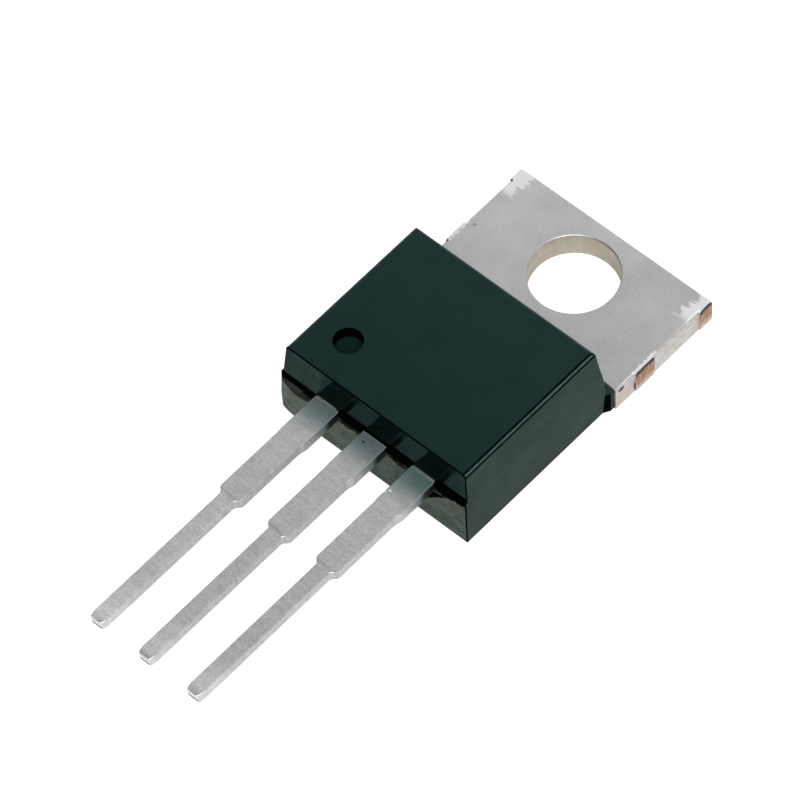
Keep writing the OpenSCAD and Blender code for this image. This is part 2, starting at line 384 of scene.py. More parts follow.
# An outer lead: the blank with the wide post that its wires are welded to.
def makeOuterLead(blank, name, side):
    s, lead = postSizes, leadSizes
    made = copyPiece(blank, name, (side * lead["pitch"], 0, 0))
    startEdit(made)
    pickFaces(lambda c, n: n.y > straightOn and c.y > lead["innerEnd"] - near)
    pull((0, s["neck"], 0))
    width = lead["wide"] + lead["damLeft"] + lead["damRight"]
    aside = (lead["damRight"] - lead["damLeft"]) / 2
    stretch((s["width"] / width, 1, 1), (side * lead["pitch"] + aside, 0, 0))
    shift((side * s["shift"] - aside, 0, 0))
    pull((0, s["length"] - s["neck"], 0))
    pick("EDGE", lambda e: reachOf(e, "z") > lead["thickness"] / 2
         and min(ends(e, "y")) > lead["innerEnd"] + s["neck"] / 2)
    roundOff(s["corner"], 1)
    endEdit()
    softenCorners(made, lead["edgeSoft"])
    return made


headerSizes = {
    "width": 10.0,
    "thickness": 1.27,
    "end": 2.6,
    "shoulder": -3.2,
    "hole": 1.9,
    "roll": 0.12,
    "holeRoll": 0.07,
    "stubOut": 0.05,
    "stubs": ((1.85, 2.6), (-2.05, -0.9)),
    "raggedStep": 0.12,
    "ragged": 0.05,
    "raggedIn": 0.8,         # share of the ragged height that also goes inwards
    "edgeSoft": 0.02,
    "padWidth": 8.4,
    "padEnd": -9.5,
    "padOverlap": 0.5,
    "lockStep": 0.25,
    "lockHeight": 0.45,
    "grooveMiddle": -4.1,
    "grooveHalf": 0.25,
    "grooveDepth": 0.2,
    "bendAngle": 60,
    "bendRadius": 0.5,
    "bendSteps": 8,
    "bendStart": -9.6,
    "weldRun": 0.07,
    "weldDepth": 0.4,
    "weldSlim": (0.99, 1, 0.97),
    "flush": 0.002,
    "tornShares": (0.42, 0.55),   # where the hole's wall widens, in shares of the thickness
    "tornWider": 1.012,
    "bareLead": -9.7,             # the strip beyond this place is lead
    "bareTab": -3.4,              # and the strip on this side of this one is tab
}


def makeHeader(blank):
    s, lead = headerSizes, leadSizes
    half, top = s["width"] / 2, s["thickness"]

    def inStub(y):
        return any(low - near < y < high + near for low, high in s["stubs"])

    plate = addBox("headerStrip", (-half, s["shoulder"], 0), (half, s["end"], top))
    startEdit(plate)
    for stub in s["stubs"]:
        for place in stub:
            if place < s["end"]:
                cut((0, place, 0), (0, 1, 0))
    # The blanked edges between the stubs are rolled over by the punch.
    pickEdges(square, lambda e: min(ends(e, "z")) > top - near
              and (reachOf(e, "x") > 1 or not inStub(middleOf(e, "y"))))
    roundOff(s["roll"], 4)
    for side in (1, -1):
        pickFaces(lambda c, n: n.x * side > straightOn and abs(c.x) > half - near and inStub(c.y))
        pull((side * s["stubOut"], 0, 0))
    pickCorners(lambda p: p.z < near)
    roundOff(s["edgeSoft"], 1)
    # The sheared stubs keep a ragged upper edge.
    for low, high in s["stubs"]:
        for index in range(1, int((high - low) / s["raggedStep"])):
            y = low + index * s["raggedStep"]
            pickFaces(lambda c, n: abs(c.x) > half + near / 10 and low - near < c.y < high + near)
            cutPicked((0, y, 0), (0, 1, 0))
            for side in (1, -1):
                rise = noise.noise((y * 6.3, side * 2.7, 0.4)) * s["ragged"]
                pickPoints(lambda p: abs(p.y - y) < near and p.x * side > half + near and p.z > top - near)
                shift((-side * abs(rise) * s["raggedIn"], 0, rise))
    endEdit()

    pad = addBox("pad", (-s["padWidth"] / 2, s["padEnd"], s["lockHeight"]),
                 (s["padWidth"] / 2, s["shoulder"] + s["padOverlap"], top - s["flush"]))
    startEdit(pad)
    pickFaces(lambda c, n: n.z < -straightOn)
    bpy.ops.mesh.inset(thickness=s["lockStep"], depth=0)
    pull((0, 0, s["flush"] - s["lockHeight"]))
    for place in (-s["grooveHalf"], 0, s["grooveHalf"]):
        cut((0, s["grooveMiddle"] + place, 0), (0, 1, 0))
    pickPoints(lambda p: abs(p.y - s["grooveMiddle"]) < near and p.z > top - near)
    shift((0, 0, -s["grooveDepth"]))
    endEdit()
    combine(plate, pad, "UNION")

    # The middle lead goes back from the lead plane to the pad in two bends and enters it a little slimmer.
    angle, radius = radians(s["bendAngle"]), s["bendRadius"]
    lowMiddle, highMiddle = top - lead["thickness"] / 2, lead["top"] - lead["thickness"] / 2
    turn = radius * sin(angle)
    slope = (highMiddle - lowMiddle - 2 * radius * (1 - cos(angle))) / sin(angle)
    highY = s["bendStart"] - 2 * turn - slope * cos(angle)

    def bend(turned, y, z):
        bpy.ops.mesh.spin(steps=s["bendSteps"], angle=turned, center=(0, y, z), axis=(1, 0, 0))

    middleLead = copyPiece(blank, "middleLead", (0, 0, 0))
    startEdit(middleLead)
    pickFaces(lambda c, n: n.y > straightOn and c.y > lead["innerEnd"] - near)
    pull((0, highY - lead["innerEnd"], 0))
    bend(-angle, highY, highMiddle - radius)
    pull((0, slope * cos(angle), -slope * sin(angle)))
    bend(angle, s["bendStart"], lowMiddle + radius)
    pull((0, s["weldRun"], 0))
    stretch(s["weldSlim"], (0, 0, lowMiddle))
    pull((0, s["weldDepth"], 0))
    endEdit()
    combine(plate, middleLead, "UNION")

    # The hole: cut clean above, torn a little wider below.
    punch = addRound("punch", (0, 0), s["hole"], -1, top + 1)
    startEdit(punch)
    for share in s["tornShares"]:
        cut((0, 0, share * top), (0, 0, 1))
    pickPoints(lambda p: p.z < top / 2)
    stretch((s["tornWider"], s["tornWider"], 1), (0, 0, 0))
    endEdit()
    combine(plate, punch, "DIFFERENCE")

    def onRim(p):
        return abs(p.xy.length - s["hole"]) < 3 * near and p.z > top - near

    startEdit(plate)
    pick("EDGE", lambda e: all(onRim(point.co) for point in e.verts))
    roundOff(s["holeRoll"], 3)
    endEdit()
    softenCorners(plate, lead["edgeSoft"])
    return plate


bodySizes = {
    "upperWidth": 9.6,
    "upperFront": -11.75,
    "lowerLeft": -4.96,
    "lowerRight": 4.8,
    "lowerFront": -11.83,
    "back": -3.5,
    "tabTop": 1.27,
    "bottom": 0.03,
    "parting": 2.85,
    "top": 4.55,
    "draft": 3,
    "lowerDraft": 1,
    "backDraft": 8.5,
    "chamfer": 0.13,
    "frontChamfer": 0.05,
    "soft": 0.03,
    "lineWidth": 0.045,
    "bulge": 0.13,
    "bulgeMiddle": 0.85,     # share of the bulge at the tab's height
    "footRound": 0.3,
    "leftOut": 0.13,
    "tongue": 0.5,           # how far the upper half reaches down inside the lower one
    "tongueSlim": 0.95,
    "topZone": 0.25,         # depth below the top that holds its broken edges
    "frontZone": -11.6,      # what lies beyond this place belongs to the front
    "partingZone": 2.84,     # and what lies below this height, to the lower half
    "earInner": 3.6,
    "earSide": 4.92,
    "earBack": -3.2,
    "earRun": 0.2,
    "earZone": 4,
    "earLean": 0.17,
    "dimple": (-3.06, -9.86),
    "dimpleRadius": 0.65,
    "dimpleDepth": 0.36,
    "dimpleFloor": 0.93,     # radius at the floor in shares of that at the top
    "dimpleSoft": 0.05,
    "bandLow": 2.38,
    "bandOut": 0.06,
    "bandIn": 0.1,
    "bandRim": 0.05,
    "bandCuts": 110,
    "bandWave": 0.03,
    # Each dip in the flash's edge: its middle, half its width and its depth.
    "dips": ((-4.05, 0.85, 0.5), (-1.5, 0.4, 0.16), (1.3, 0.45, 0.17)),
    "crumbsFrom": 3,         # the edge is rougher to the right of this place
    "climbFrom": 3.9,        # and rises to the right of this one
    "climbRun": 0.45,
    "climbSlope": 0.5,
}


# Height of the flash's broken lower edge.
def flashEdge(x):
    s = bodySizes
    broad = noise.noise((x * 0.9, 3.1, 0)) * 0.06
    fine = noise.noise((x * 4.3, 7.7, 0)) * 0.07
    crumbs = noise.noise((x * 11, 1.9, 0)) * (0.09 if x > s["crumbsFrom"] else 0.02)
    dips = sum(depth * max(0, 1 - ((x - middle) / reach) ** 2) for middle, reach, depth in s["dips"])
    climb = s["climbSlope"] * min(max(0, x - s["climbFrom"]), s["climbRun"])
    return s["bandLow"] + broad + fine + crumbs - dips + climb


# Place of the moulding's back at a height.
def backAt(z):
    return bodySizes["back"] - (z - bodySizes["tabTop"]) * tan(radians(bodySizes["backDraft"]))


def makeLowerHalf():
    s = bodySizes
    lowIn = (s["parting"] - s["bottom"]) * tan(radians(s["lowerDraft"]))
    lower = addBox("mouldedBody", (s["lowerLeft"], s["lowerFront"], s["bottom"]),
                   (s["lowerRight"], s["back"], s["parting"]))
    startEdit(lower)
    cut((0, 0, s["tabTop"]), (0, 0, 1))
    pickPoints(lambda p: p.z > s["parting"] - near and p.y > s["back"] - near)
    shift((0, backAt(s["parting"]) - s["back"], 0))
    pickPoints(lambda p: p.z < s["bottom"] + near and p.y < s["lowerFront"] + near)
    shift((0, lowIn, 0))
    pickPoints(lambda p: p.z < s["bottom"] + near and p.x > 0)
    shift((-lowIn, 0, 0))
    pickPoints(lambda p: p.z < s["bottom"] + near and p.x < 0)
    shift((-s["bulge"], 0, 0))
    pickPoints(lambda p: abs(p.z - s["tabTop"]) < near and p.x < 0)
    shift((-s["bulge"] * s["bulgeMiddle"], 0, 0))
    # Upright front corners, the left foot, the other lower edges and the front at the parting plane.
    pickEdges(square, lambda e: reachOf(e, "z") > 0.5 and max(ends(e, "y")) < s["frontZone"])
    roundOff(s["soft"] * 1.5, 3)
    pickEdges(square, lambda e: max(ends(e, "z")) < s["bottom"] + near
              and max(ends(e, "x")) < s["lowerLeft"])
    roundOff(s["footRound"], 5)
    pickEdges(square, lambda e: max(ends(e, "z")) < s["bottom"] + near)
    roundOff(s["soft"], 2)
    pickEdges(square, lambda e: min(ends(e, "z")) > s["parting"] - near
              and middleOf(e, "y") < s["frontZone"])
    roundOff(s["soft"] / 2, 1)
    endEdit()
    return lower


def makeUpperHalf():
    s = bodySizes
    half, back = s["upperWidth"] / 2, backAt(s["parting"])
    upIn = (s["top"] - s["parting"]) * tan(radians(s["draft"]))
    middle = (s["upperFront"] + back) / 2

    # Whether an edge lies in front, within reach of the top's front edge.
    def nearFront(edge, reach):
        return max(ends(edge, "y")) < s["upperFront"] + upIn + reach

    def nearTop(edge, depth):
        return min(ends(edge, "z")) > s["top"] - depth

    upper = addBox("upperHalf", (-half, s["upperFront"], s["parting"]), (half, back, s["top"]))
    startEdit(upper)
    pickPoints(lambda p: p.z > s["top"] - near and p.y < middle)
    shift((0, upIn, 0))
    pickPoints(lambda p: p.z > s["top"] - near and p.y > middle)
    shift((0, backAt(s["top"]) - back, 0))
    pickPoints(lambda p: p.z > s["top"] - near)
    stretch(((half - upIn) / half, 1, 1), (0, 0, 0))
    # The left side stands out, three times as far at the parting plane as at the top.
    pickPoints(lambda p: p.x < 0)
    shift((-s["leftOut"] / 3, 0, 0))
    pickPoints(lambda p: p.x < 0 and p.z < s["parting"] + near)
    shift((-s["leftOut"] * 2 / 3, 0, 0))
    # The top's broken edges: the back and sides, the finer front, then a line beside the larger ones.
    pickEdges(sharp, lambda e: nearTop(e, near) and not nearFront(e, near))
    roundOff(s["chamfer"], 1)
    pickEdges(sharp, lambda e: nearTop(e, s["chamfer"] + 2 * near) and nearFront(e, near))
    roundOff(s["frontChamfer"], 1)
    pickEdges(sharp, lambda e: max(ends(e, "z")) > s["top"] - s["topZone"]
              and not (nearTop(e, s["topZone"]) and nearFront(e, s["frontChamfer"] + 3 * near)))
    roundOff(s["lineWidth"], 1)
    pickFaces(lambda c, n: n.z < -straightOn)
    pull((0, 0, 0))
    stretch((s["tongueSlim"], s["tongueSlim"], 1), (0, middle, s["parting"]))
    pull((0, 0, -s["tongue"]))
    endEdit()
    return upper


# Ear of resin behind one of the tab's shoulders.
def makeEar(side):
    s = bodySizes
    left, right = sorted((side * s["earInner"], side * s["earSide"]))
    ear = addBox("ear", (left, s["back"] - s["earRun"], s["bottom"]),
                 (right, s["earBack"], s["tabTop"] - s["bottom"]))
    startEdit(ear)
    cut((0, s["back"] + s["earRun"] / 2, 0), (0, 1, 0))
    pickPoints(lambda p: p.x * side > s["earZone"] and p.y < s["back"] - near)
    shift((-side * s["earLean"], 0, 0))
    pickCorners(lambda p: p.x * side > s["earZone"])
    roundOff(s["soft"], 2)
    endEdit()
    return ear


# Flash that ran out under the parting line, broken off to a ragged lower edge.
def makeFlash():
    s = bodySizes
    left, right = s["lowerLeft"] + s["bandIn"], s["lowerRight"] - s["bandIn"]
    band = addBox("flash", (left, s["lowerFront"] - s["bandOut"], s["bandLow"]),
                  (right, s["lowerFront"] + s["bandOut"], s["parting"] - near))
    startEdit(band)
    cut((0, 0, s["bandLow"] + s["bandRim"]), (0, 0, 1))
    step = (right - left) / s["bandCuts"]
    for index in range(1, s["bandCuts"]):
        cut((left + index * step, 0, 0), (1, 0, 0))
    for index in range(s["bandCuts"] + 1):
        x = left + index * step
        pickPoints(lambda p: abs(p.x - x) < step / 4 and p.z < s["parting"] - 0.1)
        shift((0, 0, flashEdge(x) - s["bandLow"]))
        pickPoints(lambda p: abs(p.x - x) < step / 4 and p.y < s["lowerFront"])
        shift((0, noise.noise((x * 2.1, 1.3, 0)) * s["bandWave"], 0))
    endEdit()
    return band


# What the mould's pin for the dimple beside lead one takes away.
def makeDimplePin():
    s = bodySizes
    pin = addRound("dimplePin", s["dimple"], s["dimpleRadius"], s["top"] - s["dimpleDepth"],
                   s["top"] + s["dimpleDepth"])
    startEdit(pin)
    pickPoints(lambda p: p.z < s["top"])
    stretch((s["dimpleFloor"], s["dimpleFloor"], 1), (*s["dimple"], s["top"]))
    pickCorners(lambda p: p.z < s["top"])
    roundOff(s["dimpleSoft"], 3)
    endEdit()
    return pin


def makeBody():
    body = makeLowerHalf()
    for part in (makeUpperHalf(), makeEar(1), makeEar(-1), makeFlash()):
        combine(body, part, "UNION")
    combine(body, makeDimplePin(), "DIFFERENCE")
    return body


leadBlank = makeLead()
baseLead = makeOuterLead(leadBlank, "baseLead", -1)
emitterLead = makeOuterLead(leadBlank, "emitterLead", 1)
headerStrip = makeHeader(leadBlank)
bpy.data.objects.remove(leadBlank)
mouldedBody = makeBody()
print("pieces modelled")

settle(baseLead, ["base_lead"])
settle(emitterLead, ["emitter_lead"])
settle(headerStrip, ["header_tab"])
settle(mouldedBody, ["mould_body"])


# A finish whose colour, roughness and relief follow one grain of the given size in millimetres.
def grained(name, fixed, size, dark, light, roughness, low=0.3, spread=0.2, depth=0):
    f = Finish(name, fixed)
    fine = f.place.grain(size, 3)
    f.give("Base Color", fine.rise(low, 1 - low).blend(dark, light))
    f.give("Roughness", fine * spread + roughness)
    if depth:
        f.relief(fine, depth)
    return f.material


def resinTop():
    f = Finish("resin top", {"Specular IOR Level": 0.3, "Specular Tint": (0.5, 1.0, 0.98, 1)})
    cloud = f.place.grain(1.6, 4)
    fine = f.place.grain(0.06, 2)
    plain = f.y.rise(-12, -4).blend((0.0030, 0.0120, 0.0120), (0.0070, 0.0180, 0.0180))
    f.give("Base Color", plain.scaled(cloud * 0.7 + 0.65))
    f.give("Roughness", fine * 0.12 + cloud * 0.1 + 0.24)
    f.relief(fine, 0.002)
    return f.material


# Polished by the mould, but dull at the left end. Metallic only to tint its mirror image.
def resinFront():
    f = Finish("resin upper front", {"Specular IOR Level": 0.0, "Specular Tint": (0.63, 0.76, 0.74, 1)})
    cloud = f.place.grain(0.8, 4)
    fine = f.place.grain(0.1, 3)
    dull = (f.x - f.z * 0.25 + cloud * 0.1).rise(-3.72, -3.82)
    plain = (fine * 0.7 + cloud * 0.3).rise(0.35, 0.65).blend((0.000, 0.001, 0.001), (0.015, 0.029, 0.027))
    wornAndPaintedShade = (fine * 0.5 + cloud * 0.5).rise(0.35, 0.65).blend((0.026, 0.045, 0.042), (0.048, 0.076, 0.070))
    f.give("Base Color", dull.blend(plain, wornAndPaintedShade))
    f.give("Metallic", 1 - dull)
    f.give("Roughness", fine * 0.1 + 0.03 + dull * 0.4)
    f.relief(fine, 0.003)
    return f.material


# Painted shade and painted shadow: dark on the wall, and on the floor outside a disc that lies towards the
# front and the right, standing in for the recess's shade and the wall's shadow.
def resinDimple():
    f = Finish("resin dimple", {"Specular IOR Level": 0.0})
    fine = f.place.grain(0.15, 3)
    (left, front), top = bodySizes["dimple"], bodySizes["top"]
    unshadedDisc = f.spot((left + 0.094, front - 0.09, top), (0.58, 0.58, 3)).rise(0.3, 0.7)
    # Painted shade: the wall, and the floor outside the unshaded disc.
    dark = (1 - unshadedDisc).most(f.facing.part("Z").rise(0.9, 0.6))
    floor = fine.rise(0.3, 0.7).blend((0.0058, 0.0190, 0.0172), (0.0088, 0.0260, 0.0236))
    f.give("Base Color", dark.blend(floor, (0.0003, 0.0012, 0.0012)))
    f.give("Roughness", fine * 0.2 + 0.3)
    f.relief(fine, 0.004)
    return f.material


def resinSide():
    f = Finish("resin side", {"Specular IOR Level": 0.09, "Specular Tint": (0.65, 1.0, 0.9, 1)})
    cloud = f.place.grain(1.1, 4)
    fine = f.place.grain(0.08, 3)
    mixed = (cloud * 0.45 + fine * 0.55).rise(0.33, 0.67)
    plain = mixed.blend((0.010, 0.0275, 0.0225), (0.031, 0.056, 0.048))
    # Painted shade: the ledge between the two halves of the front is painted near black.
    paintedLedgeShade = f.facing.part("Z").rise(0.5, 0.8) * f.y.rise(-11.70, -11.74)
    f.give("Base Color", paintedLedgeShade.blend(plain, (0.0004, 0.0008, 0.0008)))
    f.give("Roughness", fine * 0.2 + 0.38)
    f.relief(fine, 0.012)
    return f.material


def resinChamfer():
    f = Finish("resin chamfer", {"Specular IOR Level": 0.15, "Specular Tint": (0.65, 1.0, 0.92, 1)})
    cloud = f.place.grain(0.7, 4)
    fine = f.place.grain(0.12, 3)
    mixed = (cloud * 0.5 + fine * 0.5).rise(0.35, 0.65)
    f.give("Base Color", mixed.blend((0.034, 0.060, 0.056), (0.064, 0.102, 0.096)))
    f.give("Roughness", fine * 0.2 + 0.35)
    f.relief(fine, 0.006)
    return f.material


# Crisp corners of the moulding, painted near black: painted shade and painted dark reflection on the ledge,
# the front chamfer, the narrow faces beside the chamfer and the right front corner.
def resinCorner():
    return grained("resin corner", {"Specular IOR Level": 0.0}, 0.3, (0.0002, 0.0009, 0.0009),
                   (0.0015, 0.0040, 0.0036), 0.4, low=0.35)


def resinLower():
    f = Finish("resin lower front", {"Specular IOR Level": 0.0})
    cloud = f.place.grain(0.5, 4)
    fine = f.place.grain(0.08, 3)
    mixed = (cloud * 0.5 + fine * 0.5).rise(0.36, 0.62)
    plain = mixed.blend((0.080, 0.103, 0.089), (0.158, 0.188, 0.162)).scaled(f.x * -0.07 + 1.1)
    # Painted shadow: a dark wedge climbs the body beside each lead's right side. Painted shade: the strip
    # just under the ledge is near black.
    across = f.acrossLead()
    paintedLeadShadow = (f.z - across * 0.96 - 1.34 + cloud * 0.3).rise(-0.04, 0.04) * across.within(0.0, 1.12, 0.02)
    shade = (paintedLeadShadow * f.x.rise(-3.0, -2.9)).most((f.z + cloud * 0.1).rise(2.66, 2.72))
    f.give("Base Color", shade.blend(plain, (0.002, 0.004, 0.0035)))
    f.give("Roughness", fine * 0.2 + 0.5)
    f.relief(fine, 0.02)
    return f.material


def resinFlash():
    f = Finish("resin flash", {"Specular IOR Level": 0.0})
    cloud = f.place.grain(0.35, 4)
    patchy = (cloud + f.x.rise(-3.4, -4.0) * 0.1 - f.x.rise(3.0, 3.6) * 0.16).rise(0.40, 0.60)
    plain = patchy.blend((0.002, 0.004, 0.003), (0.040, 0.049, 0.041))
    # Painted shade: the flash is near black along its top, under the ledge.
    f.give("Base Color", (f.z + cloud * 0.12).rise(2.66, 2.74).blend(plain, (0.0005, 0.001, 0.001)))
    f.give("Roughness", cloud * 0.3 + 0.35)
    f.relief(cloud, 0.03)
    return f.material


def resinBreak():
    return grained("broken resin", {"Specular IOR Level": 0.0}, 0.15, (0.10, 0.11, 0.09),
                   (0.24, 0.25, 0.22), 0.6, low=0.35, depth=0.02)


# The tab's top, with the sheared stubs' comb of white burrs drawn in over it.
def tinTab():
    f = Finish("tin on the tab", {})
    mottle = f.place.grain(0.07, 3)
    cloud = f.place.grain(1.5, 3)
    streak = f.place.scaled((0.35, 2.6, 1)).grain(0.45, 2)
    outward = abs(f.x)
    corner = (outward + streak * 1.5).rise(5.05, 5.2) * f.y.rise(1.0, 1.4)
    middle = (outward + streak * 0.4).rise(5.05, 5.12) * f.y.within(-2.05, -0.75, 0.1)
    burr = corner.most(middle)
    nicks = f.spot((-5.0, 1.85, 1.27), (0.1, 0.07, 0.3)).most(f.spot((-5.02, -2.05, 1.27), (0.1, 0.08, 0.3)))
    nicks = nicks.most(f.spot((-4.63, -0.77, 1.27), (0.08, 0.08, 0.3)) * 0.4)
    tin = (mottle * 0.6 + cloud * 0.4).rise(0.3, 0.7).blend((0.56, 0.57, 0.57), (0.72, 0.725, 0.72))
    tone = f.y.rise(-4.0, 2.0) * 0.12 + f.x.rise(1.0, -4.0) * 0.08 + 0.94
    f.give("Base Color", nicks.blend(burr.blend(tin.scaled(tone), (0.96, 0.96, 0.95)), (0.08, 0.075, 0.07)))
    f.give("Metallic", 1 - burr * 0.65)
    f.give("Roughness", mottle * 0.14 + 0.3 + burr * 0.15)
    f.relief(mottle + streak * burr * 3, 0.004)
    return f.material


def tinSide():
    f = Finish("tin on the sheared sides", {"Metallic": 1.0})
    mottle = f.place.grain(0.28, 3)
    flush = f.place.grain(0.9, 2)
    pale = mottle.rise(0.35, 0.65).blend((0.58, 0.55, 0.52), (0.74, 0.72, 0.70))
    pink = flush.rise(0.46, 0.62).blend(pale, (0.68, 0.57, 0.54))
    gouge = f.spot((5.0, -2.85, 1.05), (0.4, 0.19, 0.10))
    smear = f.spot((5.0, -2.02, 0.42), (0.4, 0.10, 0.26)) * 0.85
    f.give("Base Color", gouge.most(smear).blend(pink, (0.035, 0.030, 0.028)))
    f.give("Roughness", mottle * 0.2 + 0.35)
    f.relief(mottle, 0.01)
    return f.material


# Bare copper where the strip's tie bars were sheared off after tinning.
def shearedCopper():
    f = Finish("sheared copper", {"Metallic": 1.0})
    fine = f.place.grain(0.14, 3)
    streak = f.place.scaled((1, 3, 0.4)).grain(0.3, 3)
    bare = streak.rise(0.35, 0.65).blend((0.38, 0.20, 0.13), (0.54, 0.35, 0.25))
    lower = (f.z + fine * 0.5).rise(0.75, 0.35).blend(bare, (0.66, 0.58, 0.50))
    upper = (f.z + fine * 0.35).rise(1.08, 1.24).blend(lower, (0.060, 0.045, 0.038))
    f.give("Base Color", upper)
    f.give("Roughness", fine * 0.2 + 0.35)
    f.relief(streak, 0.01)
    return f.material


def holeWall():
    f = Finish("tin in the hole", {"Metallic": 1.0})
    streak = f.place.scaled((1, 1, 0.25)).grain(0.25, 3)
    cloud = f.place.grain(0.9, 3)
    cream = streak.rise(0.3, 0.7).blend((0.55, 0.53, 0.44), (0.65, 0.63, 0.53))
    f.give("Base Color", cloud.rise(0.45, 0.65).blend(cream, (0.60, 0.50, 0.43)))
    f.give("Roughness", streak * 0.2 + 0.35)
    f.relief(streak, 0.008)
    return f.material


# The leads' tin, with a painted reflection of the dark body beside the body: a dark teal tint, less metallic
# and rougher, stronger towards each lead's right.
def tinLead():
    f = Finish("tin on the leads", {})
    mottle = f.place.grain(0.07, 2)
    bands = f.place.scaled((0.4, 1, 0.4)).grain(0.25, 4)
    blotch = f.place.grain(0.45, 4)
    reflectionStrength = f.acrossLead().rise(-1.0, 0.2) * 0.15 + 0.77
    paintedBodyReflection = (f.y + mottle * 0.5 + blotch * 0.6).rise(-13.2, -11.75) * reflectionStrength
    # Painted reflection: near the body the rolled edges, and a thin line where the lead meets the body, are
    # painted a lighter teal grey.
    rim = f.facing.part("Z").within(0.3, 0.93, 0.05).most(f.y.rise(-11.9, -11.87)) * f.y.rise(-13.4, -12.6)
    # Painted shade: the left-facing rolled edges are painted darker.
    paintedLeftEdgeShade = f.facing.part("X").rise(-0.3, -0.55) * f.facing.part("Z").rise(0.2, 0.5)
    # Painted shade: the right sides are near black next to the body.
    paintedFlankShade = f.facing.part("X").rise(0.5, 0.8) * f.y.rise(-12.75, -12.35)
    dash = f.spot((0.37, -20.2, 2.85), (0.06, 0.05, 0.3)) * 0.45
    dots = (f.spot((-0.21, -12.22, 2.85), (0.07, 0.05, 0.3)) * 0.8).most(dash)
    shine = f.spot((1.99, -13.4, 2.85), (0.05, 0.05, 0.3))
    shine = shine.most(f.spot((2.11, -13.24, 2.85), (0.06, 0.06, 0.3)))
    shine = shine.most(f.spot((-2.0, -17.5, 2.85), (0.06, 0.05, 0.3)) * 0.7)
    tin = (mottle * 0.6 + bands * 0.4).rise(0.33, 0.67).blend((0.52, 0.52, 0.515), (0.74, 0.74, 0.73))
    # The narrow parts of the middle and right leads are a little darker.
    dimNarrowMiddleAndRight = 1 - f.x.rise(-2.0, -0.5) * f.y.rise(-17.2, -17.8) * 0.09
    tone = (f.y.rise(-22.5, -24.8) * 0.28 + f.y.rise(-17.2, -17.8) * 0.07 + 1) * dimNarrowMiddleAndRight
    wornAndPaintedShade = tin.scaled((1 - paintedLeftEdgeShade * 0.45) * tone)
    withBodyReflection = paintedBodyReflection.blend(wornAndPaintedShade, (0.105, 0.195, 0.198))
    rimmed = (rim * 0.7).blend(withBodyReflection, (0.36, 0.41, 0.41))
    # The dark dots and the dash are marks; the right sides next to the body carry painted shade.
    marksAndPaintedShade = dots.most(paintedFlankShade).blend(rimmed, (0.004, 0.005, 0.005))
    f.give("Base Color", shine.blend(marksAndPaintedShade, (0.95, 0.95, 0.94)))
    f.give("Metallic", 1 - (paintedBodyReflection * 0.75).most(shine * 0.8).most(paintedFlankShade))
    f.give("Roughness", bands * 0.14 + 0.22 + paintedBodyReflection * 0.1)
    f.relief(mottle, 0.004)
    return f.material


def burnishedEnd():
    return grained("smeared tin", {"Metallic": 0.8}, 0.12, (0.80, 0.80, 0.78), (0.95, 0.95, 0.93), 0.3)


def tornEnd():
    return grained("torn copper", {"Metallic": 0.7}, 0.12, (0.055, 0.05, 0.045), (0.18, 0.15, 0.13), 0.5,
                   depth=0.02)


def innerMetal(name, dark, light, roughness):
    return grained(name, {"Metallic": 1.0}, 0.1, dark, light, roughness, spread=0.15, depth=0.003)


# Faces take the last of the other materials whose test, in millimetres, they pass, and the plain one
# where they pass none.
def dress(piece, plain, others=()):
    piece.data.materials.clear()
    piece.data.materials.append(plain)
    for index, (material, test) in enumerate(others, 1):
        piece.data.materials.append(material)
        startEdit(piece)
        pickFaces(lambda c, n: test(c * mmInMetre, n))
        piece.active_material_index = index
        bpy.ops.object.material_slot_assign()
        endEdit()


def onCutEnd(c, n):
    return n.y < -0.5 and c.y < leadSizes["tip"] + 0.05


def onSmear(c, n):
    return onCutEnd(c, n) and c.z > leadSizes["tornTop"]


def onTorn(c, n):
    return onCutEnd(c, n) and c.z < leadSizes["tornTop"]


def onBareLead(c, n):
    return c.y < headerSizes["bareLead"]


# Within a little more than the hole's radius, which takes in its wall.
def inHole(c):
    return c.xy.length < headerSizes["hole"] + 0.2


def onTabSide(c, n):
    return c.y > headerSizes["bareTab"] and abs(n.z) < 0.6 and not inHole(c)


def onHoleWall(c, n):
    return abs(n.z) < 0.6 and inHole(c)


def onStubEnd(c, n):
    return abs(n.x) > 0.9 and abs(c.x) > headerSizes["width"] / 2 + near


def nearDimple(c):
    left, front = bodySizes["dimple"]
    return (c.x - left) ** 2 + (c.y - front) ** 2 < (bodySizes["dimpleRadius"] + 0.02) ** 2


# The centre of the top's one big face can fall on the dimple, so this test stays below the top.
def inDimple(c, n):
    return 4 < c.z < bodySizes["top"] - 0.02 and nearDimple(c)


def onTop(c, n):
    return c.z > 4 and (n.z > straightOn or nearDimple(c))


def onLowerFront(c, n):
    return c.y < bodySizes["frontZone"] and c.z < bodySizes["partingZone"]


def onUpperFront(c, n):
    inFront = c.y < bodySizes["frontZone"] and c.z > bodySizes["partingZone"]
    return inFront and n.z < straightOn and n.y < -0.5


def onFlash(c, n):
    return c.y < bodySizes["lowerFront"] - near and n.y < -0.5


# The flash's broken lower edge.
def onBreak(c, n):
    rim = flashEdge(c.x) + bodySizes["bandRim"] * 0.9
    return c.y < bodySizes["lowerFront"] - near / 2 and n.y < 0.1 and c.z < rim


def onChamfer(c, n):
    return c.z > bodySizes["top"] - 0.2 and 0.6 <= n.z <= 0.8


# The narrow faces on either side of the chamfer, in front and at the right, and the front's chamfer.
def onCrispLine(c, n):
    edge = c.z > bodySizes["top"] - bodySizes["topZone"] and (0.8 < n.z < 0.985 or 0.1 < n.z < 0.6)
    front = c.z > bodySizes["top"] - 0.12 and n.y < -0.3 and n.z > 0.1
    return edge and (n.x > 0.1 or n.y < -0.1) or front


